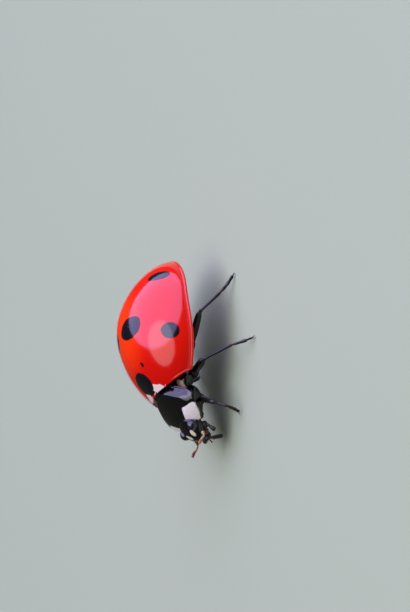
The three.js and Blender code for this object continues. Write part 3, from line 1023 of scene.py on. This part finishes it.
# %% Feelers and palps
FEELERS = {
    "left": [(4.28, 0.42, -0.52), (4.44, 0.42, -0.60), (4.62, 0.50, -0.465), (4.80, 0.63, -0.34),
             (4.97, 0.78, -0.23)],
    "right": [(4.27, -0.41, -0.52), (4.49, -0.43, -0.59), (4.67, -0.44, -0.53), (4.81, -0.44, -0.41),
              (5.0, -0.43, -0.32)],
}
# a segment's outline: height and share of its radius
BEAD_STATIONS = [(0.0, 0.5), (0.12, 0.8), (0.6, 1.0), (0.92, 0.95), (1.02, 0.5)]
SEGMENT_SHARES = [0.15, 0.09, 0.10, 0.07, 0.07, 0.065, 0.065, 0.065, 0.10, 0.10, 0.125]
SEGMENT_RADII = [0.075, 0.056, 0.044, 0.042, 0.042, 0.042, 0.043, 0.046, 0.060, 0.067, 0.058]


def along_route(route, share):
    """A point on a smooth line through the route's marks."""
    marks = [Vector(p) for p in route]
    at = min(share * (len(marks) - 1), len(marks) - 1.0001)
    k = int(at)
    t = at - k
    before = marks[k - 1] if k > 0 else 2 * marks[0] - marks[1]
    after = marks[k + 2] if k + 2 < len(marks) else 2 * marks[-1] - marks[-2]
    a, b = marks[k], marks[k + 1]
    return 0.5 * (2 * a + (b - before) * t + (2 * before - 5 * a + 4 * b - after) * t ** 2
                  + (3 * a - before - 3 * b + after) * t ** 3)


def feeler_colour(hand, k):
    """The left one is painted pale along its stalk, a painted highlight, and amber at the club; the right one
    is dark at the base, amber along the stalk and reddish at the club.
    """
    if hand == "left":
        return feeler_painted_highlight if k < 8 else feeler_amber
    if k >= 8:
        return feeler_tip
    return leg_black if k < 2 else feeler_amber


for hand, route in FEELERS.items():
    segments = []
    share = 0.0
    total = sum(SEGMENT_SHARES)
    for k, (length, radius) in enumerate(zip(SEGMENT_SHARES, SEGMENT_RADII)):
        start = along_route(route, share / total)
        share += length
        end = along_route(route, share / total)
        stations = [(z, radius * wide, radius * wide) for z, wide in BEAD_STATIONS]
        bead = spindle("bead", stations, sides=12)
        lay(bead, start, end, (0, 0, 1))
        paint(bead, feeler_colour(hand, k))
        segments.append(bead)
    set_in_place(join("feeler_" + hand, segments), "antenna", "antenna_" + hand)

# the segments of a palp are rods, and the last is shaped like an axe
PALP_ROD = [(0.0, 0.04, 0.04), (0.1, 0.07, 0.06), (0.6, 0.085, 0.07), (0.95, 0.075, 0.06), (1.0, 0.04, 0.035)]
PALP_AXE = [(0.0, 0.04, 0.04), (0.1, 0.075, 0.07), (0.55, 0.10, 0.08), (0.93, 0.12, 0.08), (1.0, 0.10, 0.06)]
PALPS = {
    "left": [(4.06, 0.42, -0.66), (4.02, 0.48, -0.74), (4.09, 0.50, -0.83), (4.27, 0.51, -1.04)],
    "right": [(4.26, -0.29, -0.80), (4.27, -0.28, -0.94), (4.24, -0.26, -1.08), (4.15, -0.26, -1.58)],
}
for hand, route in PALPS.items():
    pieces = []
    for k, (start, end) in enumerate(zip(route, route[1:])):
        last = k == len(route) - 2
        piece = spindle("palp", PALP_AXE if last else PALP_ROD)
        lay(piece, start, end, (0, 1, 0.4))
        paint(piece, leg_black if last else mouth_brown)
        pieces.append(piece)
    set_in_place(join("feeding_palp_" + hand, pieces), "mouthparts", "palp_" + hand)

# %% [markdown]
# ## Mouth
# Under the brow are an upper lip, a pair of jaws and the chin, with a pad and a dark cheek on each side
# and two small palps on the lower lip.

# %% Mouth
# each part: name, centre, half sizes, finish
MOUTH_PARTS = [
    ("upper_lip", (4.36, 0, -0.70), (0.11, 0.26, 0.09), mouth_brown),
    ("chin", (4.28, 0, -0.88), (0.17, 0.20, 0.13), leg_black),
]
for side in (1, -1):
    MOUTH_PARTS.append(("jaw", (4.43, side * 0.12, -0.80), (0.13, 0.12, 0.10), jaw_black))
    MOUTH_PARTS.append(("cheek_pad", (4.21, side * 0.27, -0.74), (0.15, 0.12, 0.12), mouth_brown))
    MOUTH_PARTS.append(("cheek", (4.02, side * 0.44, -0.66), (0.17, 0.14, 0.13), leg_black))
LIP_PALP = [(0.0, 0.02, 0.02), (0.15, 0.03, 0.03), (0.5, 0.03, 0.03), (0.55, 0.024, 0.024),
            (0.62, 0.032, 0.032), (0.95, 0.026, 0.026), (1.0, 0.012, 0.012)]
parts = []
for name, centre, half, finish in MOUTH_PARTS:
    part = ball(name, 32, 20, half, location=centre)
    paint(part, finish)
    parts.append(part)
for side in (1, -1):
    part = spindle("lip_palp", LIP_PALP, sides=10)
    lay(part, (4.40, side * 0.09, -0.98), (4.50, side * 0.16, -1.10), (0, 1, 0))
    paint(part, mouth_brown)
    parts.append(part)
set_in_place(join("mouth", parts), "mouthparts", "mouthparts")

# %% [markdown]
# ## Legs
# A leg is a round hip, a stout thigh, a slim shin with a knob at the knee and two spurs at the ankle,
# and a foot of three lobes with paired claws. One pattern of each is modelled and copied to all six
# legs, and the patterns are removed at the end. The marks are hip, knee, ankle and toe, with heights
# above the floor.

# %% Legs
TOE_LIFT = 0.075
FOOT_STEPS = 8
ANKLE_CURVE = 1.3
CLAW_CURVE = 3.2
CLAW_SPREAD = 0.45
# each lobe of the foot: where it starts and ends along the foot, and its width
FOOT_LOBES = [(0.0, 0.36, 1.0), (0.30, 0.62, 1.25), (0.52, 0.92, 0.62)]
LEGS = {
    "front_left": [(2.95, 0.6, 1.2), (3.74, 1.86, 1.06), (3.96, 2.0, 0.62), (4.08, 1.72, 0)],
    "middle_left": [(2.0, 0.8, 1.37), (2.08, 2.2, 1.42), (2.08, 3.5, 0.66), (2.18, 4.42, 0)],
    "hind_left": [(0.9, 0.8, 1.37), (0.12, 2.3, 1.36), (-0.6, 2.56, 0.5), (-1.12, 3.1, 0)],
    "front_right": [(2.95, -0.6, 1.2), (3.3, -1.8, 1.2), (2.98, -2.5, 0.6), (2.62, -3.05, 0)],
    "middle_right": [(2.0, -0.8, 1.37), (1.5, -1.78, 1.1), (1.1, -1.86, 0.5), (0.7, -2.25, 0)],
    "hind_right": [(0.9, -0.8, 1.37), (0.0, -2.3, 1.36), (-0.62, -2.55, 0.5), (-1.2, -3.0, 0)],
}
thigh = spindle("thigh", [(0.0, 0.06, 0.05), (0.05, 0.11, 0.09), (0.2, 0.155, 0.115), (0.5, 0.18, 0.13),
                          (0.8, 0.165, 0.12), (0.93, 0.14, 0.105), (1.0, 0.07, 0.06)], sides=20, smooth=2)
shin = spindle("shin", [(0.0, 0.05, 0.045), (0.03, 0.085, 0.075), (0.08, 0.08, 0.07), (0.13, 0.046, 0.043),
                        (0.4, 0.058, 0.052), (0.75, 0.068, 0.058), (0.95, 0.08, 0.065), (1.0, 0.045, 0.038)],
               sides=16, smooth=2)
sole = spindle("sole", [(0.0, 0.035, 0.035), (0.1, 0.052, 0.052), (0.8, 0.08, 0.062), (1.0, 0.055, 0.04)])
claw = spindle("claw", [(0.0, 0.022, 0.022), (0.04, 0.024, 0.024), (0.08, 0.018, 0.018), (0.12, 0.011, 0.011),
                        (0.15, 0.004, 0.004)], sides=8)
mould(claw, lambda p: Vector((p.x - CLAW_CURVE * p.z ** 2, p.y, p.z)))
spur = spindle("spur", [(0.0, 0.014, 0.014), (0.03, 0.013, 0.013), (0.09, 0.004, 0.004)], sides=8)
hip_ball = spindle("hip_ball", [(0.0, 0.15, 0.15), (0.1, 0.24, 0.22), (0.5, 0.28, 0.26), (0.9, 0.2, 0.18),
                                (1.0, 0.12, 0.1)], sides=20, smooth=2)

for name, marks in LEGS.items():
    hip, knee, ankle, toe = [Vector(p) - Vector((0, 0, BODY.z)) for p in marks]
    side = math.copysign(1, hip.y)
    bend = (knee - hip).normalized() - (ankle - knee).normalized()
    hip_piece = twin(hip_ball, "hip_" + name)
    hip_end = hip + (knee - hip).normalized() * 0.3
    lay(hip_piece, hip - Vector((0, side * 0.25, -0.1)), hip_end, (1, 0, 0))
    paint(hip_piece, leg_black)
    set_in_place(hip_piece, "leg", "coxa_" + name)
    upper = lay(twin(thigh, "thigh_" + name), hip, knee, bend)
    paint(upper, leg_black)
    set_in_place(upper, "leg", "femur_" + name)
    lower = lay(twin(shin, "shin_" + name), knee + (hip - knee).normalized() * 0.03, ankle, bend)
    paint(lower, leg_black)
    down = (ankle - knee).normalized()
    beside = down.cross(bend).normalized()
    spurs = []
    for spread in (1, -1):
        part = twin(spur, "part")
        root = ankle - down * 0.04 + beside * spread * 0.05
        lay(part, root, ankle + down + beside * spread * 0.6, bend, keep_length=True)
        paint(part, spur_amber)
        spurs.append(part)
    set_in_place(join("shin_" + name, [lower] + spurs), "leg", "tibia_" + name)
    route = []
    for k in range(FOOT_STEPS + 1):
        t = k / FOOT_STEPS
        point = ankle.lerp(toe, t)
        point.z = GROUND + (ankle.z - GROUND) * (1 - t) ** ANKLE_CURVE + TOE_LIFT * t
        route.append(point)
    up = Vector((0, 0, 1))
    parts = []
    for start, end, width in FOOT_LOBES:
        part = twin(sole, "part")
        part.data.transform(Matrix.Diagonal((1, width, 1, 1)))
        lay(part, along_route(route, start), along_route(route, end), up)
        paint(part, leg_black)
        parts.append(part)
    tip = along_route(route, 0.9)
    ahead = ((along_route(route, 0.99) - along_route(route, 0.8)) * Vector((1, 1, 0))).normalized()
    sideways = ahead.cross(up).normalized()
    for spread in (CLAW_SPREAD, -CLAW_SPREAD):
        part = twin(claw, "part")
        lay(part, tip, tip + ahead + sideways * spread, up, keep_length=True)
        paint(part, foot_brown)
        parts.append(part)
    set_in_place(join("foot_" + name, parts), "leg", "tarsus_" + name)

for pattern in (thigh, shin, sole, claw, spur, hip_ball):
    bpy.data.objects.remove(pattern)
